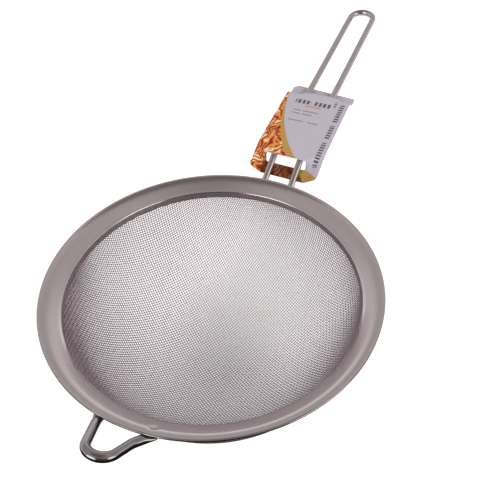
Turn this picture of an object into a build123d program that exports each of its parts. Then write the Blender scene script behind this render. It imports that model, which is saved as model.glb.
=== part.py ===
from build123d import *
from math import atan2, cos, degrees, hypot, radians, sin, sqrt, tan
import os

# Round mesh strainer with a welded loop handle, a rest hook and a hang card threaded on the handle.
# Millimetres. Origin at the centre of the rim, on the plane of its highest edge. +X runs along the
# handle, +Z is up, and the bowl hangs below.

# Rim: one pressed sheet, seen in section from the outer lip inwards to the collar
rim_radius = 100.0
rim_sheet = 0.7
lip_bend_radius = 0.9
flange_slope = 36.0
flange_width = 11.7
collar_corner_radius = 1.5
collar_wall = 4.0

# Woven bowl and the band that traps its edge behind the collar
mesh_thickness = 0.9
bowl_depth = 82.0
bowl_fullness = 1.85
skirt_height = 3.6
band_sheet = 0.7
band_height = 4.0
band_drop = 0.2

# Handle: one rod, two straight roots, two long runs and a round end
handle_rod_radius = 2.45
handle_spacing = 20.2
root_slope = 34.5
root_length = 22.7
run_slope = 13.2
run_length = 190.9
handle_bend_radius = 9.0
handle_end_roundness = 0.96
root_clearance = 0.3

# Rest hook: one rod, a loop with spread legs and flattened feet
hook_rod_radius = 2.35
hook_azimuth = 183.3
hook_slope = 31.0
hook_reach = 21.0
hook_tip_half_width = 5.9
hook_leg_half_width = 10.8
hook_leg_start = 1.5
hook_foot_half_width = 14.5
hook_foot_inset = 4.5
hook_tip_radius = 7.4
hook_flare_radius = 6.0
foot_length = 8.0
foot_width = 6.0
foot_thickness = 2.8

# Weld fillers between the rods and the underside of the flange
weld_radius = 2.0
weld_inset = 4.0

# Hang card, in the plane of the long runs: x outwards from the root bend, y across, z off the runs
card_thickness = 0.6
card_gap = 0.3
panel_start = -2.0
panel_end = 66.0
tongue_end = 68.8
tongue_arc_radius = 95.0
ramp_run = 6.0
card_left_half = 25.5
card_right_half = 26.5
card_skew = 4.5
card_outer_end = 80.0
lower_strip_width = 8.0
lower_ramp_run = 1.4
card_corner_radius = 5.0
window_play = 2.95
slit_play = 3.95

fit_gap = 0.02      # left between a rod and the lip that it is welded to
cut_reach = 60.0    # long enough for any cutting block to pass right through


def along(slope, length):
    """A displacement outwards and upwards at a slope, in the plane of the handle."""
    return Vector(length * cos(radians(slope)), 0, length * sin(radians(slope)))


def ring(points):
    """A solid of revolution about Z from a closed section of (radius, height) points."""
    face = make_face(Polyline(*[(r, 0, z) for r, z in points], close=True))
    return revolve(face, Axis.Z)


# ---------------------------------------------------------------- rim
slope_cos = cos(radians(flange_slope))
slope_sin = sin(radians(flange_slope))
slope_tan = tan(radians(flange_slope))
lip_centre = Vector(rim_radius - lip_bend_radius, -lip_bend_radius)
collar_inner_radius = rim_radius - flange_width
corner_centre_radius = collar_inner_radius + collar_corner_radius
up_normal = Vector(-slope_sin, slope_cos)


def lip_point(radius, angle):
    """A point on the rounded outer lip, from the lip's own centre."""
    return lip_centre + Vector(radius * cos(radians(angle)), radius * sin(radians(angle)))


def flange_height(radius, depth=0.0):
    """Height of the flange at a radius, on its upper face or a given depth below it."""
    start = lip_centre + up_normal * (lip_bend_radius - depth)
    return start.Y - (start.X - radius) * slope_tan


# The corner's centre keeps one distance from the flange and from the collar wall.
corner_drop = collar_corner_radius / slope_cos
corner_centre = Vector(corner_centre_radius, flange_height(corner_centre_radius) - corner_drop)
collar_bottom = collar_wall - corner_centre.Y


def corner_point(radius, angle):
    """A point on the rounded corner between flange and collar."""
    return corner_centre + Vector(radius * cos(radians(angle)), radius * sin(radians(angle)))


def rim_side(depth):
    """One face of the rim's section, from the lip to the foot of the collar."""
    lip_radius = lip_bend_radius - depth
    corner_radius = collar_corner_radius - depth
    top = 90 + flange_slope
    wall = collar_inner_radius + depth
    points = [lip_point(lip_radius, 0), lip_point(lip_radius, top / 2), lip_point(lip_radius, top),
              corner_point(corner_radius, top), corner_point(corner_radius, (top + 180) / 2),
              corner_point(corner_radius, 180)]
    place = [Vector(p.X, 0, p.Y) for p in points]
    return (ThreePointArc(*place[0:3]), Line(place[2], place[3]), ThreePointArc(*place[3:6]),
            Line(place[5], Vector(wall, 0, -collar_bottom)))


def make_rim():
    """The pressed ring: upper face, lower face and the two cut edges between them."""
    upper = rim_side(0)
    lower = rim_side(rim_sheet)
    ends = (Line(upper[0] @ 0, lower[0] @ 0), Line(upper[-1] @ 1, lower[-1] @ 1))
    return revolve(make_face(Wire([*upper, *lower, *ends])), Axis.Z)


rim = make_rim()
lip_bottom = -lip_bend_radius

# ---------------------------------------------------------------- mesh bowl and clamp band
skirt_inner = collar_inner_radius + rim_sheet
skirt_outer = skirt_inner + mesh_thickness
bowl_radius = (skirt_inner + skirt_outer) / 2
bowl_steps = 14


def bowl_point(share, offset):
    """A point of the bowl's wall: a superellipse section, moved along its normal by an offset."""
    angle = radians(90 * share)
    power = 2 / bowl_fullness
    radius = bowl_radius * cos(angle) ** power
    depth = bowl_depth * sin(angle) ** power
    slope_r = (radius / bowl_radius) ** (bowl_fullness - 1) / bowl_radius
    slope_z = (depth / bowl_depth) ** (bowl_fullness - 1) / bowl_depth
    size = hypot(slope_r, slope_z)
    return Vector(radius + offset * slope_r / size, 0, -collar_bottom - depth - offset * slope_z / size)


def bowl_side(offset):
    """One face of the bowl's section, from the skirt's foot to the pole."""
    shares = [i / bowl_steps for i in range(bowl_steps + 1)]
    points = [bowl_point(share, offset) for share in shares[:-1]]
    pole = Vector(0, 0, -collar_bottom - bowl_depth - offset)
    return Spline(*points, pole, tangents=[(0, 0, -1), (-1, 0, 0)])


def make_bowl():
    """The woven bowl as a thin closed shell, with the straight skirt that the band holds."""
    outer = bowl_side(mesh_thickness / 2)
    inner = bowl_side(-mesh_thickness / 2)
    top = skirt_height - collar_bottom
    skirt = Polyline(outer @ 0, (skirt_outer, 0, top), (skirt_inner, 0, top), inner @ 0)
    return revolve(make_face(Wire([outer, *skirt.edges(), inner, Line(outer @ 1, inner @ 1)])), Axis.Z)


band_inner = skirt_outer
band_outer = band_inner + band_sheet
mesh_bowl = make_bowl()
band_foot = -collar_bottom - band_drop
band_top = band_foot + band_height
clamp_band = ring([(band_inner, band_foot), (band_outer, band_foot),
                   (band_outer, band_top), (band_inner, band_top)])

# ---------------------------------------------------------------- handle
rod_side = handle_spacing / 2
rim_x_at_rod = sqrt(rim_radius ** 2 - rod_side ** 2)
root_height = lip_bottom - handle_rod_radius / cos(radians(root_slope)) - fit_gap
rim_crossing = Vector(rim_x_at_rod, 0, root_height)
root_bend = rim_crossing + along(root_slope, root_length)
band_x_at_rod = sqrt(band_outer ** 2 - (rod_side - handle_rod_radius) ** 2)
to_band = rim_crossing - Vector(band_x_at_rod, 0, band_top)
root_end = rim_crossing - along(root_slope, to_band.dot(along(root_slope, 1)) - root_clearance)
handle_tip = root_bend + along(run_slope, run_length)


def make_handle():
    """The bent rod: root, bend, long run, round end and back."""
    left = Vector(0, rod_side, 0)
    half = [root_end + left, root_bend + left, handle_tip + left]
    mirrored = [Vector(p.X, -p.Y, p.Z) for p in reversed(half)]
    end_radius = rod_side * handle_end_roundness
    path = FilletPolyline(*half, *mirrored,
                          radius=[handle_bend_radius, end_radius, end_radius, handle_bend_radius])
    return sweep(Plane(origin=path @ 0, z_dir=path % 0) * Circle(handle_rod_radius), path=path)


handle = make_handle()

# ---------------------------------------------------------------- rest hook
hook_axis = Plane(origin=(0, 0, 0), x_dir=(cos(radians(hook_azimuth)), sin(radians(hook_azimuth)), 0),
                  z_dir=(0, 0, 1))
hook_root_x = sqrt(rim_radius ** 2 - hook_leg_half_width ** 2)
hook_root_z = lip_bottom - hook_rod_radius / cos(radians(hook_slope)) - fit_gap
hook_frame = hook_axis * Plane(origin=(hook_root_x, 0, hook_root_z),
                               x_dir=(cos(radians(hook_slope)), 0, sin(radians(hook_slope))),
                               z_dir=(-sin(radians(hook_slope)), 0, cos(radians(hook_slope))))


def make_hook():
    """The bent loop with a flattened pad fused to each foot, in its own sloping plane."""
    left = [(-hook_foot_inset, hook_foot_half_width), (hook_leg_start, hook_leg_half_width),
            (hook_reach, hook_tip_half_width)]
    right = [(x, -y) for x, y in reversed(left)]
    path = FilletPolyline(*left, *right,
                          radius=[hook_flare_radius, hook_tip_radius, hook_tip_radius, hook_flare_radius])
    loop = sweep(Plane(origin=path @ 0, z_dir=path % 0) * Circle(hook_rod_radius), path=path)
    for side in (1, -1):
        turn = degrees(atan2(hook_foot_half_width - hook_leg_half_width, -hook_foot_inset - hook_leg_start))
        place = Pos(-hook_foot_inset, side * hook_foot_half_width, 0) * Rot(0, 0, side * turn)
        loop += place * Box(foot_length, foot_width, foot_thickness)
    return hook_frame * loop


hook = make_hook()


# ---------------------------------------------------------------- weld fillers
def make_filler(rod, point):
    """The weld metal between a rod and the underside of the flange: a plug cut to fit both."""
    radius = hypot(point.X, point.Y)
    reach = (flange_height(radius, rim_sheet / 2) - point.Z) * slope_cos
    facing = Rot(0, 0, degrees(atan2(point.Y, point.X))) * Rot(0, -flange_slope, 0)
    standing = (Align.CENTER, Align.CENTER, Align.MIN)
    plug = Pos(point.X, point.Y, point.Z) * facing * Cylinder(weld_radius, reach, align=standing)
    return plug - rod - rim


def handle_weld(side):
    """The filler over one handle root."""
    return make_filler(handle, rim_crossing - along(root_slope, weld_inset) + Vector(0, side * rod_side, 0))


def hook_weld(side):
    """The filler over one flattened foot of the hook."""
    foot = hook_frame * Pos(-hook_foot_inset, side * hook_foot_half_width, 0)
    return make_filler(hook, foot.position)


# ---------------------------------------------------------------- hang card
card_offset = handle_rod_radius + card_gap + card_thickness / 2
window_half = rod_side + handle_rod_radius + window_play
slit_half = rod_side + handle_rod_radius + slit_play
root_turn = root_slope - run_slope
card_frame = Plane(origin=root_bend, x_dir=(cos(radians(run_slope)), 0, sin(radians(run_slope))),
                   z_dir=(-sin(radians(run_slope)), 0, cos(radians(run_slope))))


def under_root(x):
    """Height of the lower strip's middle, parallel to the roots and clear below them."""
    return x * tan(radians(root_turn)) - card_offset / cos(radians(root_turn))


def thick_line(points):
    """A closed outline of the card's thickness about an open line of (x, height) points."""
    count = len(points)
    upper, lower = [], []
    for i, (x, z) in enumerate(points):
        turns = [atan2(points[j + 1][1] - points[j][1], points[j + 1][0] - points[j][0])
                 for j in (max(i - 1, 0), min(i, count - 2))]
        middle = (turns[0] + turns[1]) / 2
        reach = card_thickness / 2 / cos((turns[1] - turns[0]) / 2)
        upper.append((x - reach * sin(middle), z + reach * cos(middle)))
        lower.append((x + reach * sin(middle), z - reach * cos(middle)))
    return upper + lower[::-1]


def bent_sheet(points):
    """A full-width sheet with the given side view."""
    outline = [(x, 0, z) for x, z in thick_line(points)]
    face = make_face(Polyline(*outline, close=True))
    return extrude(face, amount=cut_reach, dir=(0, 1, 0), both=True)


def card_outline():
    """The die-cut outline of the card seen square on, a little skewed, with rounded corners."""
    inner_end = panel_start - lower_ramp_run - lower_strip_width
    tilt = tan(radians(card_skew)) * (card_left_half + card_right_half) / 2
    corners = [(inner_end - tilt / 2, -card_right_half), (card_outer_end - tilt, -card_right_half),
               (card_outer_end + tilt, card_left_half), (inner_end + tilt / 2, card_left_half)]
    sheet = make_face(Polyline(*corners, close=True))
    return fillet(sheet.vertices(), card_corner_radius)


def make_card():
    """The card: panel over the rods, and a strip at each end that passes under them."""
    strip_start = panel_start - lower_ramp_run
    inner_end = strip_start - 2 * lower_strip_width
    side_view = [(inner_end, under_root(inner_end)), (strip_start, under_root(strip_start)),
                 (panel_start, card_offset), (panel_end, card_offset),
                 (panel_end + ramp_run, -card_offset), (card_outer_end + ramp_run, -card_offset)]
    sheet = bent_sheet(side_view)
    window_length = lower_ramp_run + card_thickness
    window = Pos((strip_start + panel_start) / 2, 0, 0) * Box(window_length, 2 * window_half, cut_reach)
    slit = Pos(panel_end + ramp_run / 2, 0, 0) * Box(ramp_run + card_thickness, 2 * slit_half, cut_reach)
    tongue_sheet = Pos(panel_end, 0, card_offset) * Box(2 * ramp_run, 2 * slit_half, card_thickness)
    arc_centre = Pos(tongue_end - tongue_arc_radius, 0, 0)
    tongue = tongue_sheet & arc_centre * Cylinder(tongue_arc_radius, cut_reach)
    cut = extrude(card_outline(), amount=cut_reach, both=True)
    return card_frame * (((sheet - window - slit) + tongue) & cut)


# ---------------------------------------------------------------- the nodes
parts = {
    "rim_flange": rim,
    "mesh_bowl": mesh_bowl,
    "clamp_band": clamp_band,
    "handle_loop": handle,
    "handle_weld_left": handle_weld(1),
    "handle_weld_right": handle_weld(-1),
    "rest_hook": hook,
    "hook_weld_left": hook_weld(1),
    "hook_weld_right": hook_weld(-1),
    "hang_card": make_card(),
}

os.makedirs("parts", exist_ok=True)
for name, solid in parts.items():
    export_step(solid, f"parts/{name}.step")
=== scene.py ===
import math

import bpy
import numpy as np
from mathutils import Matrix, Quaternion, Vector


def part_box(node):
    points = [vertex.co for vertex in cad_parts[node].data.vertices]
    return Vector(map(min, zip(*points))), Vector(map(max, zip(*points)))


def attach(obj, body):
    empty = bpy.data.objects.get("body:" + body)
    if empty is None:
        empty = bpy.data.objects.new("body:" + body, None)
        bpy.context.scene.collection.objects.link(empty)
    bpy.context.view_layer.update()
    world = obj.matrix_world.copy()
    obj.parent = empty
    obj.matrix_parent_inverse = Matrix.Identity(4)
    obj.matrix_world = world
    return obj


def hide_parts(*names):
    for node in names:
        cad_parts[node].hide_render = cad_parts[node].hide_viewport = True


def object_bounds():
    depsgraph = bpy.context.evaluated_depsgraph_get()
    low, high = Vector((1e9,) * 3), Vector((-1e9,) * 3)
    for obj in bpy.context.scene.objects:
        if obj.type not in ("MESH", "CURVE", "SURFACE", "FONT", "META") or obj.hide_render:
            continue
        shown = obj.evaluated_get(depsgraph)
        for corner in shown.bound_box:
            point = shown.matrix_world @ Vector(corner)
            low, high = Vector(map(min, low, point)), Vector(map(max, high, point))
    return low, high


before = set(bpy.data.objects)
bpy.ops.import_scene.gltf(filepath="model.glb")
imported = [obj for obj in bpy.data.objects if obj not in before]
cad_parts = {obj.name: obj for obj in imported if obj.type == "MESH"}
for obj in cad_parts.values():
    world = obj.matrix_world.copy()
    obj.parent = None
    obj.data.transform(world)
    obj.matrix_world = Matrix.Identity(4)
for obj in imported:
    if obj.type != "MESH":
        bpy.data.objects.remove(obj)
cad_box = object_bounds()
MM = 0.001


# ------------------------------------------------------------------ rim flange
# One ring pressed from 0.7 mm stainless sheet and polished: a lip turned down at the outside, a wide slope
# down towards the bowl, a rounded corner and a short straight collar. Four welds show through it as dimples.
RIM_RADIUS = (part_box("rim_flange")[1].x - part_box("rim_flange")[0].x) / 2
RIM_SHEET = 0.7 * MM
LIP_RADIUS = 0.9 * MM
FLANGE_SLOPE = math.radians(36)
FLANGE_WIDTH = 11.7 * MM
CORNER_RADIUS = 1.5 * MM
FOOT_BEVEL = 0.15 * MM
ARC_POINTS = 14
COLLAR_RADIUS = RIM_RADIUS - FLANGE_WIDTH
COLLAR_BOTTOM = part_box("rim_flange")[0].z
RIM_TURNS = 720
OUTER_SLOPE = math.radians(2)
INNER_SLOPE = math.radians(44)
WELD_NODES = ("handle_weld_left", "handle_weld_right", "hook_weld_left", "hook_weld_right")
WELD_DIMPLES = (0.10 * MM, 0.06 * MM, 0.60 * MM, 0.08 * MM)
DIMPLE_RADIUS = 1.6 * MM
STEEL_TINT = (0.70, 0.635, 0.635)
# Painted shade on the lip's outer edge: its near-black colour, and the radii over which it comes in.
LIP_PAINTED_SHADE = (0.10, 0.088, 0.088, 1)
LIP_SHADE_SPAN = (RIM_RADIUS - 0.55 * MM, RIM_RADIUS - 0.1 * MM)
SATIN_INWARDS = (RIM_RADIUS - 2.6 * MM, RIM_RADIUS - 6.0 * MM)
SATIN_OUTWARDS = (COLLAR_RADIUS + 0.9 * MM, COLLAR_RADIUS + 2.0 * MM)


def surface(name, points, closed_across, closed_along):
    """A smooth quad surface over a grid of points shaped (along, across, 3), joined up where it is closed."""
    along, across = points.shape[:2]
    rows = np.arange(along if closed_along else along - 1)
    cols = np.arange(across if closed_across else across - 1)
    row, col = np.meshgrid(rows, cols, indexing="ij")
    row_next, col_next = (row + 1) % along, (col + 1) % across
    corners = [row * across + col, row_next * across + col,
               row_next * across + col_next, row * across + col_next]
    return skin(name, points.reshape(-1, 3), np.stack(corners, axis=-1).reshape(-1, 4))


def skin(name, vertices, faces):
    """A smooth-shaded mesh object from whole arrays of vertices and of faces with one size of corner list."""
    mesh = bpy.data.meshes.new(name)
    mesh.vertices.add(len(vertices))
    mesh.vertices.foreach_set("co", np.asarray(vertices, np.float32).ravel())
    mesh.loops.add(faces.size)
    mesh.loops.foreach_set("vertex_index", faces.astype(np.int32).ravel())
    mesh.polygons.add(len(faces))
    mesh.polygons.foreach_set("loop_start", np.arange(len(faces), dtype=np.int32) * faces.shape[1])
    mesh.update(calc_edges=True)
    mesh.polygons.foreach_set("use_smooth", np.ones(len(faces), bool))
    piece = bpy.data.objects.new(name, mesh)
    bpy.context.scene.collection.objects.link(piece)
    return piece


def arc(centre, radius, start, end, count):
    """Points (radius, height) on a circle's arc between two angles in degrees."""
    angle = np.radians(np.linspace(start, end, count))
    return np.stack([centre[0] + radius * np.cos(angle), centre[1] + radius * np.sin(angle)], axis=-1)


def straight(start, end, count):
    """Points spaced evenly from start to end, both ends left out."""
    share = np.linspace(0, 1, count + 2)[1:-1, None]
    return np.asarray(start) * (1 - share) + np.asarray(end) * share


def turned(name, section, turns):
    """A closed section of (radius, height) points turned about Z: x = r cos a, y = r sin a, z = height."""
    angle = np.linspace(0, 2 * np.pi, turns, endpoint=False)[:, None]
    radius, height = section[None, :, 0], section[None, :, 1]
    points = np.stack([radius * np.cos(angle), radius * np.sin(angle), height + 0 * angle], axis=-1)
    return surface(name, points, True, True)


def crowned(start, end, count):
    """A crown, both ends left out: its steepness is inner - (inner - outer) (1 - share) ^ (power - 1)."""
    outer, inner = math.tan(OUTER_SLOPE), math.tan(INNER_SLOPE)
    run, fall = start[0] - end[0], start[1] - end[1]
    power = (inner - outer) / (inner - fall / run)
    share = np.linspace(0, 1, count + 2)[1:-1]
    drop = run * (inner * share - (inner - outer) * (1 - (1 - share) ** power) / power)
    return np.stack([start[0] - run * share, start[1] - drop], axis=-1)


def rim_face(depth, corner_height, flange_points):
    """One face of the sheet, from the lip's end to the collar's foot: arc, crown, arc, straight wall."""
    lip_end, corner_start = 90 + math.degrees(OUTER_SLOPE), 90 + math.degrees(INNER_SLOPE)
    lip = arc((RIM_RADIUS - LIP_RADIUS, -LIP_RADIUS), LIP_RADIUS - depth, 0, lip_end, ARC_POINTS)
    corner = arc((COLLAR_RADIUS + CORNER_RADIUS, corner_height), CORNER_RADIUS - depth,
                 corner_start, 180, ARC_POINTS)
    wall_foot = (COLLAR_RADIUS + depth, COLLAR_BOTTOM + FOOT_BEVEL)
    flange = crowned(lip[-1], corner[0], flange_points)
    return np.concatenate([lip, flange, corner, straight(corner[-1], wall_foot, 5), [wall_foot]])


def rim_section():
    """The sheet's closed section. The corner's centre lies one corner radius below the flange's slope."""
    lip_top = np.array([RIM_RADIUS - LIP_RADIUS * (1 + math.sin(FLANGE_SLOPE)),
                        LIP_RADIUS * (math.cos(FLANGE_SLOPE) - 1)])
    run = lip_top[0] - (COLLAR_RADIUS + CORNER_RADIUS)
    corner_height = lip_top[1] - run * math.tan(FLANGE_SLOPE) - CORNER_RADIUS / math.cos(FLANGE_SLOPE)
    upper = rim_face(0, corner_height, flange_points=34)
    lower = rim_face(RIM_SHEET, corner_height, flange_points=8)
    foot = [(COLLAR_RADIUS + FOOT_BEVEL, COLLAR_BOTTOM),
            (COLLAR_RADIUS + RIM_SHEET - FOOT_BEVEL, COLLAR_BOTTOM)]
    return np.concatenate([upper, foot, lower[::-1]])


class Shade:
    """A value on a surface. Adding, taking away or multiplying builds the Math node for it."""

    def __init__(self, finish, socket):
        self.finish, self.socket = finish, socket

    def math(self, operation, first, second):
        return self.finish.node("ShaderNodeMath", {"operation": operation}, {0: first, 1: second})

    def __add__(self, other):
        return self.math("ADD", self, other)

    def __radd__(self, other):
        return self.math("ADD", other, self)

    def __sub__(self, other):
        return self.math("SUBTRACT", self, other)

    def __rsub__(self, other):
        return self.math("SUBTRACT", other, self)

    def __mul__(self, other):
        return self.math("MULTIPLY", self, other)

    def __rmul__(self, other):
        return self.math("MULTIPLY", other, self)

    def above(self, level):
        return self.math("GREATER_THAN", self, level)

    def below(self, level):
        return self.math("LESS_THAN", self, level)


class Finish:
    """One material, or the room's light, under construction, with one method that adds any node."""

    def __init__(self, name, owners="materials", output="ShaderNodeOutputMaterial"):
        self.owner, self.output = getattr(bpy.data, owners).new(name), output
        self.owner.use_nodes = True
        self.tree = self.owner.node_tree
        self.tree.nodes.clear()

    def node(self, kind, settings=None, sockets=None, out=0):
        """Adds a node: its settings or ramp stops first, then the values or links of its sockets."""
        made = self.tree.nodes.new(kind)
        for key, value in (settings or {}).items():
            if key == "stops":
                self.ramp(made.color_ramp, value)
            else:
                setattr(made, key, value)
        for key, value in (sockets or {}).items():
            if isinstance(value, Shade):
                self.tree.links.new(value.socket, made.inputs[key])
            else:
                made.inputs[key].default_value = value
        return Shade(self, made.outputs[out]) if made.outputs else made

    def ramp(self, ramp, stops):
        while len(ramp.elements) < len(stops):
            ramp.elements.new(0.5)
        for element, (place, colour) in zip(ramp.elements, stops):
            element.position = place
            element.color = (*colour, 1)

    def done(self, shader):
        self.node(self.output, None, {"Surface": shader})
        return self.owner


def mixed(finish, share, first, second):
    """First colour where share is 0, second where it is 1."""
    return finish.node("ShaderNodeMix", {"data_type": "RGBA"}, {0: share, 6: first, 7: second}, out=2)


def fade(finish, value, start, end, curve="LINEAR"):
    """0 where the value is at start, 1 where it is at end, and held beyond both."""
    return finish.node("ShaderNodeMapRange", {"interpolation_type": curve}, {
        "Value": value, "From Min": start, "From Max": end})


def noise(finish, place, scale, detail, out=0):
    """Cloudy noise, with a number of layers of finer detail."""
    return finish.node("ShaderNodeTexNoise", None, {"Vector": place, "Scale": scale, "Detail": detail}, out)


def bumps(finish, height, strength, distance):
    """Small unevenness of the surface, given as a height."""
    return finish.node("ShaderNodeBump", None, {"Strength": strength, "Distance": distance, "Height": height})


def polar(finish):
    """Object coordinates and the distance from the axis, for marks left by turning."""
    place = finish.node("ShaderNodeTexCoord", out=3)
    flat = finish.node("ShaderNodeVectorMath", {"operation": "MULTIPLY"}, {0: place, 1: (1, 1, 0)})
    radius = finish.node("ShaderNodeVectorMath", {"operation": "LENGTH"}, {0: flat}, out=1)
    return place, radius


def spun_steel(name):
    """Polished sheet: fine rings about the axis, slow waves, painted shade darkening the lip's outer edge and
    a satin inner slope.
    """
    finish = Finish(name)
    place, radius = polar(finish)
    rings = finish.node("ShaderNodeTexNoise", {"noise_dimensions": "1D"},
                        {"W": radius * 2600.0, "Detail": 3.0, "Roughness": 0.7})
    cloud = noise(finish, place, 26.0, 4.0)
    wave = noise(finish, place, 30.0, 1.0)
    colour = finish.node("ShaderNodeValToRGB", {"stops": [
        (0.3, (STEEL_TINT[0] * 0.95, STEEL_TINT[1] * 0.94, STEEL_TINT[2] * 0.93)), (0.7, STEEL_TINT)]},
        {"Fac": cloud * 0.7 + rings * 0.3})
    # Painted shade: the colour darkens towards near black over the lip's outer edge, standing for the dark it
    # mirrors.
    colour = mixed(finish, fade(finish, radius, *LIP_SHADE_SPAN) * 0.7, colour, LIP_PAINTED_SHADE)
    satin = fade(finish, radius, *SATIN_INWARDS) * fade(finish, radius, *SATIN_OUTWARDS)
    roughness = 0.08 + 0.05 * cloud + 0.03 * rings + 0.20 * satin
    bump = bumps(finish, wave * 0.35 + rings * 0.0006, 0.5, 0.001)
    return finish.done(finish.node("ShaderNodeBsdfPrincipled", None, {
        "Base Color": colour, "Metallic": 1.0, "Roughness": roughness, "Normal": bump}))


def weld_marks(piece):
    """Sinks a round dimple over each weld: down by depth times exp(-(distance / radius) squared)."""
    points = np.zeros(len(piece.data.vertices) * 3)
    piece.data.vertices.foreach_get("co", points)
    points = points.reshape(-1, 3)
    for node, depth in zip(WELD_NODES, WELD_DIMPLES):
        low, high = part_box(node)
        away = np.hypot(points[:, 0] - (low.x + high.x) / 2, points[:, 1] - (low.y + high.y) / 2)
        points[:, 2] -= depth * np.exp(-(away / DIMPLE_RADIUS) ** 2)
    piece.data.vertices.foreach_set("co", points.ravel())


rim = turned("rim_flange_spun", rim_section(), RIM_TURNS)
weld_marks(rim)
rim.data.materials.append(spun_steel("polished_rim"))
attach(rim, "strainer")
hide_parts("rim_flange")


# ------------------------------------------------------------------ woven bowl
# Plain-woven stainless wire pressed into a deep bowl. Every wire keeps its length between crossings, so the
# weave shears towards the sides. Its edge runs up behind the collar.
PITCH = 1.777 * MM
WIRE_RADIUS = 0.27 * MM
WEAVE_TURN = math.radians(-30.8)
BOWL_FULLNESS = 1.85
MESH_HALF = 0.45 * MM
FLOOR_LIFT = 0.48 * MM
EDGE_TRIM = 0.3 * MM
BOWL_LOW, BOWL_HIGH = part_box("mesh_bowl")
BOWL_RADIUS = (BOWL_HIGH.x - BOWL_LOW.x) / 2 - MESH_HALF
BOWL_TOP = COLLAR_BOTTOM
BOWL_DEPTH = BOWL_TOP - BOWL_LOW.z - FLOOR_LIFT
SKIRT_TOP = BOWL_HIGH.z - EDGE_TRIM
LONGEST_SIDE = 1.55
NEWTON_STEPS = 12
PROFILE_POINTS = 6000


def bowl_pull(points):
    """How far points lie off the bowl, (r/R)^n + (d/D)^n - 1 with d the depth below it, and the slope."""
    radius = np.hypot(points[..., 0], points[..., 1]) + 1e-12
    depth = np.maximum(BOWL_TOP - points[..., 2], 0)
    power = BOWL_FULLNESS
    off = (radius / BOWL_RADIUS) ** power + (depth / BOWL_DEPTH) ** power - 1
    side = power * (radius / BOWL_RADIUS) ** (power - 1) / BOWL_RADIUS / radius
    down = -power * (depth / BOWL_DEPTH) ** (power - 1) / BOWL_DEPTH
    return off, np.stack([points[..., 0] * side, points[..., 1] * side, down], axis=-1)


def next_crossing(left, below, behind):
    """The crossing one pitch from both neighbours: a parallelogram's corner, then Newton steps."""
    point = left + below - behind
    for _ in range(NEWTON_STEPS):
        off, slope = bowl_pull(point)
        misses = np.stack([off, ((point - left) ** 2).sum(-1) - PITCH ** 2,
                           ((point - below) ** 2).sum(-1) - PITCH ** 2], axis=-1)
        slopes = np.stack([slope, 2 * (point - left), 2 * (point - below)], axis=-2)
        point = point - np.linalg.solve(slopes, misses[..., None])[..., 0]
    return point


def first_wire(count):
    """Crossings along a wire straight through the bottom, a pitch apart by arc length up the bowl's side."""
    angle = np.linspace(np.pi / 2, 0, PROFILE_POINTS)
    radius = np.append(BOWL_RADIUS * np.cos(angle) ** (2 / BOWL_FULLNESS), BOWL_RADIUS)
    height = np.append(BOWL_TOP - BOWL_DEPTH * np.sin(angle) ** (2 / BOWL_FULLNESS), BOWL_TOP + 0.05)
    length = np.concatenate([[0], np.cumsum(np.hypot(np.diff(radius), np.diff(height)))])
    marks = np.arange(count) * PITCH
    return np.interp(marks, length, radius), np.interp(marks, length, height)


def quarter_net(count):
    """One quarter of the woven net as (i, j, 3) crossings, worked outwards one diagonal at a time."""
    net = np.full((count, count, 3), np.nan)
    radius, height = first_wire(count)
    net[:, 0] = np.stack([radius, 0 * radius, height], axis=-1)
    net[0, :] = np.stack([0 * radius, radius, height], axis=-1)
    for diagonal in range(2, 2 * count - 1):
        i = np.arange(max(1, diagonal - count + 1), min(count - 1, diagonal - 1) + 1)
        j = diagonal - i
        left, below, behind = net[i - 1, j], net[i, j - 1], net[i - 1, j - 1]
        known = (left[:, 2] < SKIRT_TOP + PITCH) & (below[:, 2] < SKIRT_TOP + PITCH)
        i, j = i[known], j[known]
        if len(i):
            net[i, j] = next_crossing(left[known], below[known], behind[known])
    net[net[..., 2] > SKIRT_TOP] = np.nan
    return net


def whole_net(count):
    """The quarter mirrored into four and turned to the weave's own direction."""
    quarter = quarter_net(count)
    half = np.concatenate([quarter[:0:-1] * (-1, 1, 1), quarter])
    net = np.concatenate([half[:, :0:-1] * (1, -1, 1), half], axis=1)
    across, along = net[..., 0], net[..., 1]
    turn = np.cos(WEAVE_TURN), np.sin(WEAVE_TURN)
    return np.stack([across * turn[0] - along * turn[1], across * turn[1] + along * turn[0],
                     net[..., 2]], axis=-1)


def wires(name, net, over):
    """Four-sided wires along the net's second axis. Each rises and dips by one radius at every crossing."""
    slope = bowl_pull(net)[1]
    outward = slope / np.linalg.norm(slope, axis=-1, keepdims=True)
    centre = net + outward * (WIRE_RADIUS * over)[..., None]
    middle, lean = (centre[:, 1:] + centre[:, :-1]) / 2, (outward[:, 1:] + outward[:, :-1]) / 2
    count, steps = net.shape[0], 2 * net.shape[1] - 1
    line, normal = np.full((count, steps, 3), np.nan), np.full((count, steps, 3), np.nan)
    line[:, ::2], line[:, 1::2] = centre, middle
    normal[:, ::2], normal[:, 1::2] = outward, lean
    ahead, back = np.roll(line, -1, axis=1), np.roll(line, 1, axis=1)
    ahead[:, -1], back[:, 0] = np.nan, np.nan
    ahead, back = np.where(np.isnan(ahead), line, ahead), np.where(np.isnan(back), line, back)
    side = np.cross(ahead - back, normal)
    side /= np.linalg.norm(side, axis=-1, keepdims=True) + 1e-12
    up = np.cross(side, ahead - back)
    up /= np.linalg.norm(up, axis=-1, keepdims=True) + 1e-12
    angle = np.radians([45, 135, 225, 315])[:, None]
    around = np.cos(angle) * side[:, :, None] + np.sin(angle) * up[:, :, None]
    ring = line[:, :, None] + WIRE_RADIUS * around
    return wire_mesh(name, ring, ~np.isnan(line[..., 0]))


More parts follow.
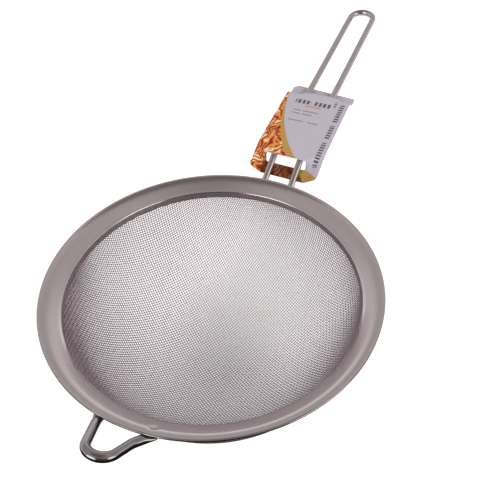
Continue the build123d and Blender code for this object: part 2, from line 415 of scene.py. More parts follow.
def wire_mesh(name, ring, known):
    """Quads between neighbouring rings that both exist, and one quad over each cut end."""
    count, steps = known.shape
    first = (np.arange(count * steps) * 4).reshape(count, steps)
    here, there = first[:, :-1][known[:, :-1] & known[:, 1:]], first[:, 1:][known[:, :-1] & known[:, 1:]]
    corner, after = np.arange(4), (np.arange(4) + 1) % 4
    walls = np.stack([here[:, None] + corner, here[:, None] + after, there[:, None] + after,
                      there[:, None] + corner], axis=-1).reshape(-1, 4)
    before = np.pad(known, ((0, 0), (1, 0)))[:, :-1]
    beyond = np.pad(known, ((0, 0), (0, 1)))[:, 1:]
    starts = first[known & ~before][:, None] + corner[::-1]
    ends = first[known & ~beyond][:, None] + corner
    quads = np.concatenate([walls, starts, ends])[:, ::-1]
    used, packed = np.unique(quads, return_inverse=True)
    return skin(name, ring.reshape(-1, 3)[used], packed.reshape(quads.shape))


def drawn_wire():
    """Drawn stainless wire: bright, faintly dulled where it was annealed for pressing."""
    finish = Finish("woven_wire")
    place = finish.node("ShaderNodeTexCoord", out=3)
    cloud = noise(finish, place, 60.0, 3.0)
    drawn = noise(finish, place, 2200.0, 2.0)
    colour = finish.node("ShaderNodeValToRGB", {"stops": [
        (0.3, (0.53, 0.445, 0.485)), (0.7, (0.60, 0.505, 0.55))]}, {"Fac": cloud})
    bump = bumps(finish, drawn, 0.1, 0.00005)
    return finish.done(finish.node("ShaderNodeBsdfPrincipled", None, {
        "Base Color": colour, "Metallic": 1.0, "Roughness": 0.34 + 0.06 * cloud, "Normal": bump}))


net_reach = int((BOWL_RADIUS * LONGEST_SIDE + 8 * MM) / PITCH) + 2
net = whole_net(net_reach)
net_rows, net_cols = np.indices(net.shape[:2])
alternate = np.where((net_rows + net_cols) % 2, 1.0, -1.0)
wire_finish = drawn_wire()
woven = []
for label, grid, over in (("warp", net, alternate), ("weft", net.transpose(1, 0, 2), -alternate.T)):
    for part, rows in (("a", slice(0, None, 2)), ("b", slice(1, None, 2))):
        woven.append(wires(f"bowl_{label}_wires_{part}", grid[rows], over[rows]))
for piece in woven:
    piece.data.materials.append(wire_finish)
    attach(piece, "strainer")
    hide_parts("mesh_bowl")


# ------------------------------------------------------------------ clamp band
# A strip of stainless rolled into a hoop and pressed over the mesh's edge, outside the collar.
BAND_LOW, BAND_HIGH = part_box("clamp_band")
BAND_OUTER = (BAND_HIGH.x - BAND_LOW.x) / 2
BAND_SHEET = 0.7 * MM
BAND_ROUND = 0.25 * MM


def band_section():
    """A rectangle with rounded corners: four quarter arcs joined by straight stretches."""
    outer, inner = BAND_OUTER - BAND_ROUND, BAND_OUTER - BAND_SHEET + BAND_ROUND
    low, high = BAND_LOW.z + BAND_ROUND, BAND_HIGH.z - BAND_ROUND
    corners = [((outer, high), 0), ((inner, high), 90), ((inner, low), 180), ((outer, low), 270)]
    return np.concatenate([arc(centre, BAND_ROUND, start, start + 90, 5) for centre, start in corners])


band = turned("clamp_band_hoop", band_section(), 480)
band.data.materials.append(spun_steel("band_steel"))
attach(band, "strainer")
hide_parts("clamp_band")


# ------------------------------------------------------------------ handle
# One polished 4.9 mm rod bent into a long U. Its two steeper roots lie against the underside of the flange.
ROD_RADIUS = 2.45 * MM
ROD_SPACING = 20.2 * MM
ROOT_SLOPE = math.radians(34.5)
ROOT_LENGTH = 22.7 * MM
RUN_SLOPE = math.radians(13.2)
RUN_LENGTH = 190.9 * MM
HANDLE_BEND = 9.0 * MM
ROOT_TUCK = 9.9 * MM
END_ROUND = 0.985
PATH_STEP = 3 * MM
ROD_SIDES = 24
DOME_REACH = 0.35
DOME_START = 0.75
WELD_GAP = 0.02 * MM


def slope_step(slope, length):
    """A step outwards and upwards at a slope, in the handle's plane."""
    return np.array([math.cos(slope) * length, 0, math.sin(slope) * length])


def bent_line(corners, radii, spacing):
    """Points on straight runs joined by tangent arcs, each starting r tan(turn / 2) before its corner."""
    pieces, start = [], corners[0]
    for before, corner, after, radius in zip(corners, corners[1:], corners[2:], radii):
        arriving = (corner - before) / np.linalg.norm(corner - before)
        leaving = (after - corner) / np.linalg.norm(after - corner)
        turn = math.acos(np.clip(arriving @ leaving, -1, 1))
        reach = radius * math.tan(turn / 2)
        inward = leaving - arriving * math.cos(turn)
        inward /= np.linalg.norm(inward)
        arc_start = corner - arriving * reach
        steps = max(2, int(np.linalg.norm(arc_start - start) / spacing))
        pieces.append(start + (arc_start - start) * np.linspace(0, 1, steps, endpoint=False)[:, None])
        angle = np.linspace(0, turn, max(6, int(turn * 16)), endpoint=False)[:, None]
        pieces.append(arc_start + radius * (np.sin(angle) * arriving + (1 - np.cos(angle)) * inward))
        start = corner + leaving * reach
    steps = max(3, int(np.linalg.norm(corners[-1] - start) / spacing))
    pieces.append(start + (corners[-1] - start) * np.linspace(0, 1, steps)[:, None])
    return np.concatenate(pieces)


def rod_skin(name, path, flat_normal, across, through):
    """A rod along a path: path + across cos a side + through sin a up, with both ends domed and closed."""
    ahead = np.gradient(path, axis=0)
    ahead /= np.linalg.norm(ahead, axis=1, keepdims=True)
    up = flat_normal - (ahead @ flat_normal)[:, None] * ahead
    up /= np.linalg.norm(up, axis=1, keepdims=True)
    side = np.cross(ahead, up)
    distance = np.concatenate([[0], np.cumsum(np.linalg.norm(np.diff(path, axis=0), axis=1))])
    edge = np.minimum(distance, distance[-1] - distance)
    inset = 1 - np.clip(edge / (DOME_REACH * through), 0, 1)
    dome = np.sqrt(np.clip(1 - inset ** 2, 0, 1)) * (1 - DOME_START) + DOME_START
    angle = np.linspace(0, 2 * np.pi, ROD_SIDES, endpoint=False)[:, None]
    wide = (across * dome)[:, None, None] * np.cos(angle) * side[:, None]
    thick = (through * dome)[:, None, None] * np.sin(angle) * up[:, None]
    grid = path[:, None] + wide + thick
    piece = surface(name, grid, True, False)
    return close_ends(piece, grid)


def close_ends(piece, grid):
    """Fans of triangles over the first and last rings of a tube."""
    mesh = piece.data
    sides, last = grid.shape[1], (grid.shape[0] - 1) * grid.shape[1]
    faces = [tuple(p.vertices) for p in mesh.polygons]
    centres = np.stack([grid[0].mean(0), grid[-1].mean(0)])
    vertices = np.concatenate([grid.reshape(-1, 3), centres])
    ring = np.arange(sides)
    after = (ring + 1) % sides
    start = np.stack([ring, after, np.full(sides, len(vertices) - 2)], axis=-1)
    end = np.stack([last + after, last + ring, np.full(sides, len(vertices) - 1)], axis=-1)
    fans = [tuple(int(v) for v in f) for f in np.concatenate([start, end])]
    mesh.clear_geometry()
    mesh.from_pydata(vertices.tolist(), [], faces + fans)
    mesh.polygons.foreach_set("use_smooth", np.ones(len(mesh.polygons), bool))
    mesh.update()
    return piece


def polished_rod(name, depth):
    """Drawn and tumbled rod: bright, with faint scratches along it and slightly dull patches. A depth below 1
    darkens the whole colour as painted shade.
    """
    finish = Finish(name)
    place = finish.node("ShaderNodeTexCoord", out=3)
    drawn = finish.node("ShaderNodeMapping", None, {"Vector": place, "Scale": (60.0, 900.0, 900.0)})
    scratches = noise(finish, drawn, 1.0, 3.0)
    cloud = noise(finish, place, 70.0, 3.0)
    colour = finish.node("ShaderNodeValToRGB", {"stops": [
        (0.3, (0.62 * depth, 0.565 * depth, 0.56 * depth)),
        (0.7, (0.70 * depth, 0.645 * depth, 0.64 * depth))]},
        {"Fac": cloud})
    bump = bumps(finish, scratches, 0.03, 0.0001)
    return finish.done(finish.node("ShaderNodeBsdfPrincipled", None, {
        "Base Color": colour, "Metallic": 1.0, "Roughness": 0.11 + 0.06 * cloud, "Normal": bump}))


lip_bottom = -LIP_RADIUS
rod_side = ROD_SPACING / 2
rim_crossing = np.array([math.sqrt(RIM_RADIUS ** 2 - rod_side ** 2), 0,
                         lip_bottom - ROD_RADIUS / math.cos(ROOT_SLOPE) - WELD_GAP])
root_bend = rim_crossing + slope_step(ROOT_SLOPE, ROOT_LENGTH)
handle_half = [rim_crossing - slope_step(ROOT_SLOPE, ROOT_TUCK), root_bend,
               root_bend + slope_step(RUN_SLOPE, RUN_LENGTH)]
handle_corners = [point + (0, rod_side, 0) for point in handle_half]
handle_corners += [point - (0, rod_side, 0) for point in handle_half[::-1]]
run_normal = np.array([-math.sin(RUN_SLOPE), 0, math.cos(RUN_SLOPE)])
end_bend = rod_side * END_ROUND
handle_path = bent_line(handle_corners, [HANDLE_BEND, end_bend, end_bend, HANDLE_BEND], PATH_STEP)
rod_width = np.full(len(handle_path), ROD_RADIUS)
handle = rod_skin("handle_rod", handle_path, run_normal, rod_width, rod_width)
handle.data.materials.append(polished_rod("polished_rod", 1.0))
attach(handle, "strainer")
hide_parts("handle_loop")


# ------------------------------------------------------------------ rest hook
# One short 4.7 mm rod bent to a loop with spread legs. Its feet are hammered flat and welded under the lip.
HOOK_RADIUS = 2.35 * MM
HOOK_AZIMUTH = math.radians(183.3)
HOOK_SLOPE = math.radians(31)
HOOK_LEFT_LEG = np.array([(-4.5, 15.0), (6.0, 9.6), (20.95, 6.1)]) * MM
HOOK_RIGHT_LEG = np.array([(-4.5, -14.2), (5.0, -11.3), (20.95, -5.6)]) * MM
HOOK_FOOT_HALF = 10.8 * MM
HOOK_FOOT_ROUND = 14.0 * MM
HOOK_TIP_ROUND = 7.4 * MM
HOOK_STEP = 0.7 * MM
FOOT_FLAT = 7.0 * MM
FOOT_WIDER = 0.38
FOOT_THINNER = 0.42


def hook_point(reach, spread):
    """A point of the hook's own sloping plane, from its distance outwards and sideways."""
    outward = np.array([math.cos(HOOK_AZIMUTH), math.sin(HOOK_AZIMUTH), 0])
    sideways = np.array([-math.sin(HOOK_AZIMUTH), math.cos(HOOK_AZIMUTH), 0])
    root = outward * math.sqrt(RIM_RADIUS ** 2 - HOOK_FOOT_HALF ** 2)
    root[2] = lip_bottom - HOOK_RADIUS / math.cos(HOOK_SLOPE) - WELD_GAP
    along = outward * math.cos(HOOK_SLOPE) + np.array([0, 0, math.sin(HOOK_SLOPE)])
    return root + along * reach + sideways * spread


hook_corners = [hook_point(x, y) for x, y in np.concatenate([HOOK_LEFT_LEG, HOOK_RIGHT_LEG[::-1]])]
hook_bends = [HOOK_FOOT_ROUND, HOOK_TIP_ROUND, HOOK_TIP_ROUND, HOOK_FOOT_ROUND]
hook_path = bent_line(hook_corners, hook_bends, HOOK_STEP)
hook_normal = np.cross(hook_corners[1] - hook_corners[0], hook_corners[-1] - hook_corners[0])
hook_normal /= np.linalg.norm(hook_normal) * np.sign(hook_normal[2])
hook_length = np.concatenate([[0], np.cumsum(np.linalg.norm(np.diff(hook_path, axis=0), axis=1))])
to_foot = np.minimum(hook_length, hook_length[-1] - hook_length)
flatness = np.clip(1 - to_foot / FOOT_FLAT, 0, 1)
flatness = flatness ** 2 * (3 - 2 * flatness)
hook = rod_skin("rest_hook_rod", hook_path, hook_normal,
                HOOK_RADIUS * (1 + FOOT_WIDER * flatness), HOOK_RADIUS * (1 - FOOT_THINNER * flatness))
# Painted shade: the hook is the same rod steel with its colour scaled to 0.62, standing for the dark it
# mirrors.
hook.data.materials.append(polished_rod("hook_rod", 0.62))
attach(hook, "strainer")
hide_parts("rest_hook")


# ------------------------------------------------------------------ weld fillers
# Fused metal from projection welding, squeezed out between each rod or foot and the underside of the flange.
BEAD_SIZES = (2.5 * MM, 2.5 * MM, 2.3 * MM, 2.3 * MM)
BEAD_HEIGHT = 0.62 * MM
BEAD_DEPTH = RIM_SHEET + 0.5 * MM
BEAD_ROWS = 18
BEAD_COLUMNS = 28
POLE_HOLE = 0.02


def weld_bead(name, low, high, size, seed):
    """A lumpy closed bead laid along the slope: a sphere of radius 1 + small sines of both its angles."""
    spot = (low + high) / 2
    azimuth, away = math.atan2(spot.y, spot.x), math.hypot(spot.x, spot.y)
    outward = np.array([math.cos(azimuth), math.sin(azimuth), 0])
    sideways, up = np.array([-math.sin(azimuth), math.cos(azimuth), 0]), np.array([0, 0, 1])
    uphill = outward * math.cos(FLANGE_SLOPE) + up * math.sin(FLANGE_SLOPE)
    normal = up * math.cos(FLANGE_SLOPE) - outward * math.sin(FLANGE_SLOPE)
    flange_height = ((away - RIM_RADIUS + LIP_RADIUS) * math.tan(FLANGE_SLOPE)
                     + LIP_RADIUS / math.cos(FLANGE_SLOPE))
    centre = outward * away + up * (flange_height - LIP_RADIUS) - normal * BEAD_DEPTH
    across = np.linspace(POLE_HOLE, np.pi - POLE_HOLE, BEAD_ROWS)
    around = np.linspace(0, 2 * np.pi, BEAD_COLUMNS, endpoint=False)
    polar_angle, turn = np.meshgrid(across, around, indexing="ij")
    lump = (1 + 0.10 * np.sin(3 * turn + seed) * np.sin(polar_angle)
            + 0.07 * np.sin(5 * polar_angle + 2 * seed))
    flat = (lump * np.sin(polar_angle))[..., None] * size
    grid = centre + flat * (np.cos(turn)[..., None] * uphill + np.sin(turn)[..., None] * sideways)
    grid = grid + (lump * np.cos(polar_angle))[..., None] * BEAD_HEIGHT * normal
    return close_ends(surface(name, grid, True, False), grid)


def weld_metal():
    """Weld metal: grey, finely rippled and a little blue-brown where it was hot."""
    finish = Finish("weld_metal")
    place = finish.node("ShaderNodeTexCoord", out=3)
    ripple = noise(finish, place, 900.0, 4.0)
    heat = noise(finish, place, 260.0, 1.0)
    colour = finish.node("ShaderNodeValToRGB", {"stops": [
        (0.3, (0.34, 0.31, 0.33)), (0.55, (0.52, 0.49, 0.47)), (0.75, (0.62, 0.56, 0.50))]}, {"Fac": heat})
    bump = bumps(finish, ripple, 0.5, 0.0002)
    return finish.done(finish.node("ShaderNodeBsdfPrincipled", None, {
        "Base Color": colour, "Metallic": 1.0, "Roughness": 0.30 + 0.20 * ripple, "Normal": bump}))


weld_finish = weld_metal()
for seed, (node, size) in enumerate(zip(WELD_NODES, BEAD_SIZES)):
    bead = weld_bead(f"{node}_bead", *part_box(node), size, seed)
    bead.data.materials.append(weld_finish)
    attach(bead, "strainer")
    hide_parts(node)


# ------------------------------------------------------------------ hang card
# Coated card, printed and die-cut, 0.4 mm thick. The panel lies over the handle's rods, and a strip at each
# end passes under them, so the card bends down beside its window and beyond its curved slit.
CARD_THICKNESS = 0.4 * MM
CARD_LIFT = 3.05 * MM
CARD_INNER_END = -12.6 * MM
CARD_OUTER_END = 80.0 * MM
CARD_LEFT = 25.5 * MM
CARD_RIGHT = -26.5 * MM
CARD_SKEW = math.tan(math.radians(4.5))
CARD_CORNER = 5.0 * MM
LOWER_CORNER = 3.0 * MM
SHARP_CORNER = 0.8 * MM
WINDOW_MIDDLE = -2.7 * MM
WINDOW_LENGTH = 2.0 * MM
WINDOW_HALF = 15.4 * MM
WINDOW_ROUND = 0.6 * MM
SLIT_MIDDLE = -2.0 * MM
SLIT_HALF = 16.0 * MM
SLIT_ARC = 95.0 * MM
TONGUE_END = 68.8 * MM
RAMP_START = 65.0 * MM
RAMP_RUN = 6.5 * MM
STRIP_START = 71.2 * MM
SHEET_STEP = 0.62 * MM
STRIP_DROP = 7.0 * MM
BEND_START = 0.5 * MM
BEND_END = 5.2 * MM
SKEW_START = -20 * MM
SKEW_END = 70 * MM
SIDE_PULL = 0.1
PRINT_SPAN = 100.0
ROOT_TURN = math.tan(ROOT_SLOPE - RUN_SLOPE)


def rounded_box(x, y, middle, half, corner):
    """Distance outside a box with rounded corners: |p - middle| - half + corner, less the corner."""
    across, along = np.abs(x - middle[0]) - half[0] + corner, np.abs(y - middle[1]) - half[1] + corner
    outside = np.hypot(np.maximum(across, 0), np.maximum(along, 0))
    return outside + np.minimum(np.maximum(across, along), 0) - corner


def smooth(value, start, end):
    """A smooth step from 0 at start to 1 at end: t t (3 - 2 t)."""
    share = np.clip((value - start) / (end - start), 0, 1)
    return share * share * (3 - 2 * share)


def card_edge(x, y):
    """Distance outside the card: outside its skewed outline, or inside its window or its curved slit."""
    skewed = x - y * CARD_SKEW * smooth(x, SKEW_START, SKEW_END)
    middle = ((CARD_INNER_END + CARD_OUTER_END) / 2, (CARD_LEFT + CARD_RIGHT) / 2)
    half = ((CARD_OUTER_END - CARD_INNER_END) / 2, (CARD_LEFT - CARD_RIGHT) / 2)
    corner = np.where(x < middle[0], LOWER_CORNER, np.where(y < 0, SHARP_CORNER, CARD_CORNER))
    outline = rounded_box(skewed, y, middle, half, corner)
    window = rounded_box(x, y, (WINDOW_MIDDLE, 0), (WINDOW_LENGTH / 2, WINDOW_HALF), WINDOW_ROUND)
    beyond_tongue = np.hypot(x - TONGUE_END + SLIT_ARC, y - SLIT_MIDDLE) - SLIT_ARC
    slit = np.maximum(np.maximum(-beyond_tongue, x - STRIP_START), np.abs(y - SLIT_MIDDLE) - SLIT_HALF)
    return np.maximum(outline, np.maximum(-window, -slit))


def card_height(x, y):
    """Height off the rods' plane: panel above, outer strip below, lower strip under the steep roots."""
    beside_slit = smooth(np.abs(y - SLIT_MIDDLE), SLIT_HALF - 2.5 * MM, SLIT_HALF + 0.5 * MM)
    gentle = smooth(x, RAMP_START, RAMP_START + RAMP_RUN)
    cut = (np.hypot(x - TONGUE_END + SLIT_ARC, y - SLIT_MIDDLE) > SLIT_ARC).astype(float)
    outer = beside_slit * gentle + (1 - beside_slit) * cut
    under_root = x * ROOT_TURN - CARD_LIFT / math.cos(ROOT_SLOPE - RUN_SLOPE)
    beside_window = smooth(np.abs(y), WINDOW_HALF - 1.5 * MM, WINDOW_HALF + 1.5 * MM)
    ease = smooth(np.abs(y), WINDOW_HALF, -CARD_RIGHT)
    soft = smooth(-x, -BEND_START - 13 * MM * ease, BEND_END + 2 * MM * ease) * (1 - 0.5 * ease)
    sharp = (x < WINDOW_MIDDLE).astype(float)
    inner = beside_window * soft + (1 - beside_window) * sharp
    panel = CARD_LIFT * (1 - 2 * outer)
    return panel * (1 - inner) + under_root * inner


def card_sheet():
    """A fine grid cut to the card's outline, its edge points slid to where card_edge is 0."""
    margin = 4 * MM
    x = np.arange(CARD_INNER_END - margin, CARD_OUTER_END + margin, SHEET_STEP)
    y = np.arange(CARD_RIGHT - margin, CARD_LEFT + margin, SHEET_STEP)
    along, across = np.meshgrid(x, y, indexing="ij")
    middle = card_edge(along[:-1, :-1] + SHEET_STEP / 2, across[:-1, :-1] + SHEET_STEP / 2)
    row, col = np.nonzero(middle < 0)
    width = len(y)
    quads = np.stack([row * width + col, (row + 1) * width + col, (row + 1) * width + col + 1,
                      row * width + col + 1], axis=-1)
    sharing = np.bincount(quads.ravel(), minlength=along.size)
    on_edge = (sharing > 0) & (sharing < 4)
    flat = np.stack([along.ravel(), across.ravel()], axis=-1)
    for _ in range(6):
        step = 0.02 * MM
        here = card_edge(flat[on_edge, 0], flat[on_edge, 1])
        slope = np.stack([card_edge(flat[on_edge, 0] + step, flat[on_edge, 1]) - here,
                          card_edge(flat[on_edge, 0], flat[on_edge, 1] + step) - here], axis=-1) / step
        move = here[:, None] * slope / np.maximum((slope ** 2).sum(-1, keepdims=True), 0.2)
        flat[on_edge] -= np.clip(move, -SHEET_STEP, SHEET_STEP)
    used, packed = np.unique(quads, return_inverse=True)
    return flat[used], packed.reshape(quads.shape)


def card_in_place(flat, side):
    """The flat sheet bent to its height and set on the handle's run."""
    height = card_height(side[:, 0], side[:, 1])
    run = np.array([math.cos(RUN_SLOPE), 0, math.sin(RUN_SLOPE)])
    return root_bend + flat[:, :1] * run + flat[:, 1:2] * np.array([0, 1, 0]) + height[:, None] * run_normal


flat_card, card_quads = card_sheet()
face_middles = flat_card[card_quads].mean(axis=1)
pull_to = np.zeros((len(flat_card), 2))
np.add.at(pull_to, card_quads.ravel(), np.repeat(face_middles, 4, axis=0))
pull_to /= np.bincount(card_quads.ravel())[:, None]
card_side = flat_card * (1 - SIDE_PULL) + pull_to * SIDE_PULL
card = skin("hang_card_sheet", card_in_place(flat_card, card_side), card_quads)
print_map = card.data.uv_layers.new(name="print")
print_shift = STRIP_DROP * smooth(-flat_card[:, 0], BEND_START, BEND_END)
print_spot = flat_card - np.stack([print_shift, 0 * print_shift], axis=-1)
print_share = print_spot[card_quads.ravel()] / (PRINT_SPAN * MM) + 0.5
print_map.data.foreach_set("uv", print_share.astype(np.float32).ravel())

PANEL_CIRCLE = (75.8, -88.2, 112.0)
BAND_CIRCLE = (66.9, -89.2, 112.5)
LILAC = (0.508, 0.468, 0.533)
GOLD = (0.50, 0.30, 0.075)
INK = (0.085, 0.075, 0.10)
ORANGE_INK = (0.62, 0.16, 0.04)
HEAVY_ROW = ((57.4, 8.7, 2.2, 6.4), (57.4, -6.6, 2.2, 6.8))
ORANGE_ROW = ((53.0, -0.5, 0.45, 6.5),)
SMALL_ROWS = ((47.4, 10.6, 0.55, 3.3), (47.4, -0.6, 0.55, 6.2), (43.8, 10.4, 0.55, 3.5),
              (43.8, 1.0, 0.55, 4.0), (35.8, 7.4, 0.55, 6.4), (35.8, -6.6, 0.55, 4.2))
SIDE_ROW = ((7.5, -21.8, 12.0, 1.75), (30.5, -21.8, 7.5, 1.75), (51.5, -21.8, 10.0, 1.75),
            (60.5, -16.4, 3.2, 0.9))
PRINT_END = 69.0
CREASE = (68.6, -2.0, 1.4, 15.0)
# Near-white for the folds beside the slit: painted highlight where the bend catches light, and whitened
# cracked print.
FOLD_HIGHLIGHT_WHITE = (0.95, 0.95, 0.96, 1)
BETWEEN_RODS = 17.0
LOW_EDGE = (-8.0, -10.5)
# Near-black red for the strip below the window.
LOW_STRIP_DARK = (0.085, 0.008, 0.003, 1)


def card_spot(finish):
    """The print's own coordinates in millimetres, read from the sheet's map: x outwards, y to the left."""
    flat = finish.node("ShaderNodeUVMap", {"uv_map": "print"})
    place = finish.node("ShaderNodeMapping", None, {
        "Vector": flat, "Location": (-PRINT_SPAN / 2, -PRINT_SPAN / 2, 0.0),
        "Scale": (PRINT_SPAN, PRINT_SPAN, 1.0)})
    x = finish.node("ShaderNodeSeparateXYZ", None, {0: place}, out=0)
    y = finish.node("ShaderNodeSeparateXYZ", None, {0: place}, out=1)
    return place, x, y


def within(finish, value, middle, half):
    """1 where the value lies within a half width of its middle."""
    return finish.node("ShaderNodeMath", {"operation": "COMPARE"}, {0: value, 1: middle, 2: half})


def inside_circle(finish, x, y, circle):
    """1 inside a circle given as (x, y, radius): the squared distance is below the squared radius."""
    across, along = x - circle[0], y - circle[1]
    return (across * across + along * along).below(circle[2] ** 2)


def dashes(finish, x, y, bars):
    """1 on any of the bars, each given as (x, y, half length along x, half length along y)."""
    covered = 0.0
    for middle_x, middle_y, half_x, half_y in bars:
        covered = within(finish, x, middle_x, half_x) * within(finish, y, middle_y, half_y) + covered
    return covered


def wording(finish, x, y, along_x, bars, pitch):
    """Rows of print shown only as plain strokes: the bars, cut by a wave along each row, a pitch apart."""
    place = finish.node("ShaderNodeCombineXYZ", None, {0: x, 1: y})
    strokes = finish.node("ShaderNodeTexWave", {"bands_direction": "X" if along_x else "Y"}, {
        "Vector": place, "Scale": 0.314 / pitch, "Distortion": 1.6, "Detail": 1.0})
    return dashes(finish, x, y, bars) * strokes.above(0.34)


def tangled_strands(finish, place):
    """A warm picture of tangled strands in sauce: two bent waves, rings and slants, in patches."""
    drift = noise(finish, place, 0.06, 2.0, out=1)
    moved = finish.node("ShaderNodeVectorMath", {"operation": "MULTIPLY_ADD"}, {
        0: drift, 1: (34.0, 34.0, 0.0), 2: place})
    loops = finish.node("ShaderNodeTexWave", {"wave_type": "RINGS"}, {
        "Vector": moved, "Scale": 0.070, "Distortion": 2.2, "Detail": 2.0, "Detail Scale": 0.30})
    slants = finish.node("ShaderNodeTexWave", {"bands_direction": "DIAGONAL"}, {
        "Vector": moved, "Scale": 0.085, "Distortion": 4.0, "Detail": 2.0, "Detail Scale": 0.18})
    patches = noise(finish, place, 0.11, 3.0)
    layers = fade(finish, patches, 0.47, 0.53)
    sauce = finish.node("ShaderNodeValToRGB", {"stops": [
        (0.0, (0.26, 0.015, 0.004)), (0.40, (0.46, 0.045, 0.010)), (0.80, (0.62, 0.16, 0.022)),
        (1.0, (0.76, 0.36, 0.08))]}, {"Fac": loops})
    pasta = finish.node("ShaderNodeValToRGB", {"stops": [
        (0.0, (0.38, 0.05, 0.010)), (0.28, (0.62, 0.18, 0.030)), (0.70, (0.80, 0.40, 0.11)),
        (1.0, (0.90, 0.74, 0.54))]}, {"Fac": slants})
    return mixed(finish, layers, sauce, pasta)


def printed_face():
    """Coated card, printed: a lilac field, a gold arc, a warm picture and dashes in place of wording."""
    finish = Finish("printed_card_face")
    place, x, y = card_spot(finish)
    fibre = noise(finish, place, 2.2, 5.0)
    cloud = noise(finish, place, 0.09, 3.0)
    field = mixed(finish, cloud * 0.30, (*LILAC, 1), (0.60, 0.56, 0.62, 1))
    # Darker on the strip below the window, between the rods, towards the card's lower end.
    low_edge = fade(finish, x, *LOW_EDGE) * within(finish, y, 0.0, BETWEEN_RODS)
    picture = mixed(finish, low_edge * 0.82, tangled_strands(finish, place), LOW_STRIP_DARK)
    colour = mixed(finish, inside_circle(finish, x, y, BAND_CIRCLE), picture, (*GOLD, 1))
    colour = mixed(finish, inside_circle(finish, x, y, PANEL_CIRCLE), colour, field)
    colour = mixed(finish, x.above(PRINT_END), colour, field)
    ink = wording(finish, x, y, True, SIDE_ROW, 2.6) + wording(finish, x, y, False, HEAVY_ROW, 3.4)
    ink = ink + wording(finish, x, y, False, SMALL_ROWS, 1.5)
    colour = mixed(finish, ink * 0.95, colour, (*INK, 1))
    colour = mixed(finish, dashes(finish, x, y, ORANGE_ROW), colour, (*ORANGE_INK, 1))
    # Painted highlight and whitened print: the fold from each end of the slit to the card's side is turned
    # near white.
    bend = within(finish, x, CREASE[0], CREASE[2])
    beside = within(finish, y, CREASE[1], CREASE[3])
    fold_highlight = bend * (1 - beside) * (fibre * 0.5 + 0.6)
    colour = mixed(finish, fold_highlight, colour, FOLD_HIGHLIGHT_WHITE)
    return finish.done(finish.node("ShaderNodeBsdfPrincipled", None, {
        "Base Color": colour, "Specular IOR Level": 0.25, "Roughness": 0.34 + 0.12 * fibre,
        "Coat Weight": 0.06, "Coat Roughness": 0.2, "Normal": bumps(finish, fibre, 0.12, 0.0001)}))


def bare_board(name, tint):
    """The uncoated side or cut edge of the card: off-white board with grey fibres."""
    finish = Finish(name)
    place = finish.node("ShaderNodeTexCoord", out=3)
    fibre = noise(finish, place, 1500.0, 4.0)
    cloud = noise(finish, place, 60.0, 2.0)
    darker = (tint[0] * 0.86, tint[1] * 0.86, tint[2] * 0.86)
    colour = finish.node("ShaderNodeValToRGB", {"stops": [(0.3, darker), (0.7, tint)]},
                         {"Fac": fibre * 0.6 + cloud * 0.4})
    bump = bumps(finish, fibre, 0.2, 0.0001)
    return finish.done(finish.node("ShaderNodeBsdfPrincipled", None, {
        "Base Color": colour, "Roughness": 0.62 + 0.15 * fibre, "Normal": bump}))


for card_finish in (printed_face(), bare_board("card_back", (0.80, 0.79, 0.78)),
                    bare_board("card_cut_edge", (0.84, 0.82, 0.80))):
    card.data.materials.append(card_finish)
wall = card.modifiers.new("thickness", "SOLIDIFY")
wall.thickness = CARD_THICKNESS
wall.offset = 0
wall.material_offset = 1
wall.material_offset_rim = 2
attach(card, "card")
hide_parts("hang_card")


# ------------------------------------------------------------------ floor, light and camera
# A plain near-white table that the bowl rests on, a soft room with two bright boxes in it, and two large soft
# lamps that polished steel does not mirror.
FLOOR_GAP = 0.4 * MM
FLOOR_SIDE = 9.0
CAMERA_PLACE = Vector((-0.1661, -0.1051, 0.2126))
CAMERA_TARGET = Vector((0.0334, -0.0024, 0.0))
CAMERA_ROLL = math.radians(-2.05)
CAMERA_LENS = 36.63
SENSOR_WIDTH = 36.0
NEAR_CLIP = 0.005
FLOOR_FADE_WAY = 27
FLOOR_FADE = (-0.13, 0.0)
DARK_SIDE = (207, 0, 70, 12)
SOFT_BOXES = ((163, 2.2), (-98, 1.8))
BOX_ELEVATION = 13
BOX_EDGES = (22, 16)
LAMP_AIM = (0.05, 0, 0)
LAMP_DISTANCE = 2.0
LAMPS = (("key_lamp", -92, 36, 1.5, 25.0), ("side_lamp", 150, 30, 1.2, 12.0))


def compass(azimuth, elevation):
    """The direction with an azimuth from +X and an elevation, both in degrees."""
    turn, rise = math.radians(azimuth), math.radians(elevation)
    return (math.cos(turn) * math.cos(rise), math.sin(turn) * math.cos(rise), math.sin(rise))


def pale_floor():
    """A pale matt table, lit from within where it is seen. What steel mirrors of it darkens to one side."""
    finish = Finish("pale_floor")
    place = finish.node("ShaderNodeTexCoord", out=3)
    beyond = finish.node("ShaderNodeVectorMath", {"operation": "DOT_PRODUCT"}, {
        0: place, 1: compass(FLOOR_FADE_WAY, 0)}, out=1)
    share = fade(finish, beyond, *FLOOR_FADE, "SMOOTHSTEP")
    matt = finish.node("ShaderNodeBsdfDiffuse", None, {
        "Color": mixed(finish, share, (0.02, 0.02, 0.02, 1), (0.70, 0.66, 0.68, 1))})
    bright = finish.node("ShaderNodeBsdfPrincipled", None, {
        "Base Color": (0.80, 0.78, 0.79, 1), "Roughness": 0.9, "Emission Color": (1.0, 0.972, 0.985, 1),
        "Emission Strength": 0.6})
    seen = finish.node("ShaderNodeLightPath", out=0)
    return finish.done(finish.node("ShaderNodeMixShader", None, {0: seen, 1: matt, 2: bright}))


def patch(room, direction, azimuth, elevation, outer, inner):
    """1 within the inner angle of a direction, fading to 0 at the outer angle, both in degrees."""
    toward = room.node("ShaderNodeVectorMath", {"operation": "DOT_PRODUCT"}, {
        0: direction, 1: compass(azimuth, elevation)}, out=1)
    return fade(room, toward, math.cos(math.radians(outer)), math.cos(math.radians(inner)), "SMOOTHSTEP")


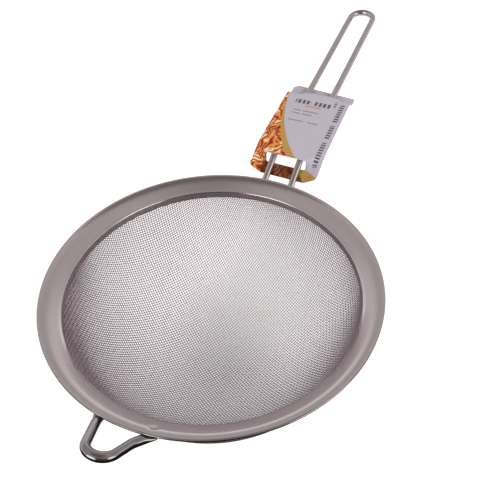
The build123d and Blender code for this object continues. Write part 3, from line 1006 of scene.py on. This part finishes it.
def soft_room():
    """Light from all round: bright near the table, dim overhead, dark on one side, with two soft boxes."""
    room = Finish("soft_room", "worlds", "ShaderNodeOutputWorld")
    direction = room.node("ShaderNodeTexCoord", out=0)
    torn = noise(room, direction, 4.0, 5.0)
    height = room.node("ShaderNodeSeparateXYZ", None, {0: direction}, out=2)
    glow = room.node("ShaderNodeValToRGB", {"stops": [
        (0.0, (0.74, 0.725, 0.74)), (0.08, (0.98, 0.965, 0.98)), (0.20, (0.70, 0.685, 0.70)),
        (0.42, (0.44, 0.425, 0.435)), (0.72, (0.45, 0.425, 0.425)), (0.85, (0.55, 0.52, 0.515)),
        (0.88, (0.24, 0.22, 0.215)), (1.0, (0.17, 0.155, 0.155))]}, {"Fac": height + torn * 0.20 - 0.10})
    colour = mixed(room, patch(room, direction, *DARK_SIDE), glow, (0.09, 0.08, 0.08, 1))
    for azimuth, bright in SOFT_BOXES:
        box = patch(room, direction, azimuth, BOX_ELEVATION, *BOX_EDGES)
        colour = mixed(room, box, colour, (bright, bright * 0.985, bright, 1))
    light = room.node("ShaderNodeBackground", None, {"Color": colour})
    plain = room.node("ShaderNodeBackground", None, {"Color": (1, 1, 1, 1)})
    seen = room.node("ShaderNodeLightPath", out=0)
    return room.done(room.node("ShaderNodeMixShader", None, {0: seen, 1: light, 2: plain}))


def soft_lamp(name, place, aim, side, power):
    """A square soft lamp at a place, facing a point, hidden from mirror reflections."""
    lamp = bpy.data.lights.new(name, "AREA")
    lamp.size = side
    lamp.energy = power
    holder = bpy.data.objects.new(name, lamp)
    holder.location = place
    holder.rotation_euler = (Vector(place) - Vector(aim)).to_track_quat("Z", "Y").to_euler()
    holder.visible_glossy = False
    bpy.context.scene.collection.objects.link(holder)


floor_height = cad_box[0].z - FLOOR_GAP
reach = FLOOR_SIDE / 2
floor_corners = [(-reach, -reach, floor_height), (reach, -reach, floor_height),
                 (reach, reach, floor_height), (-reach, reach, floor_height)]
floor = skin("floor", np.array(floor_corners), np.array([[0, 1, 2, 3]]))
floor.data.materials.append(pale_floor())
bpy.context.scene.world = soft_room()
for name, azimuth, elevation, side, power in LAMPS:
    soft_lamp(name, Vector(compass(azimuth, elevation)) * LAMP_DISTANCE, LAMP_AIM, side, power)
camera = bpy.data.objects.new("camera", bpy.data.cameras.new("camera"))
camera.data.lens = CAMERA_LENS
camera.data.sensor_width = SENSOR_WIDTH
camera.data.clip_start = NEAR_CLIP
camera.location = CAMERA_PLACE
facing = (CAMERA_PLACE - CAMERA_TARGET).to_track_quat("Z", "Y") @ Quaternion((0, 0, 1), CAMERA_ROLL)
camera.rotation_euler = facing.to_euler()
bpy.context.scene.collection.objects.link(camera)
bpy.context.scene.camera = camera
bpy.context.scene.view_settings.view_transform = "Standard"
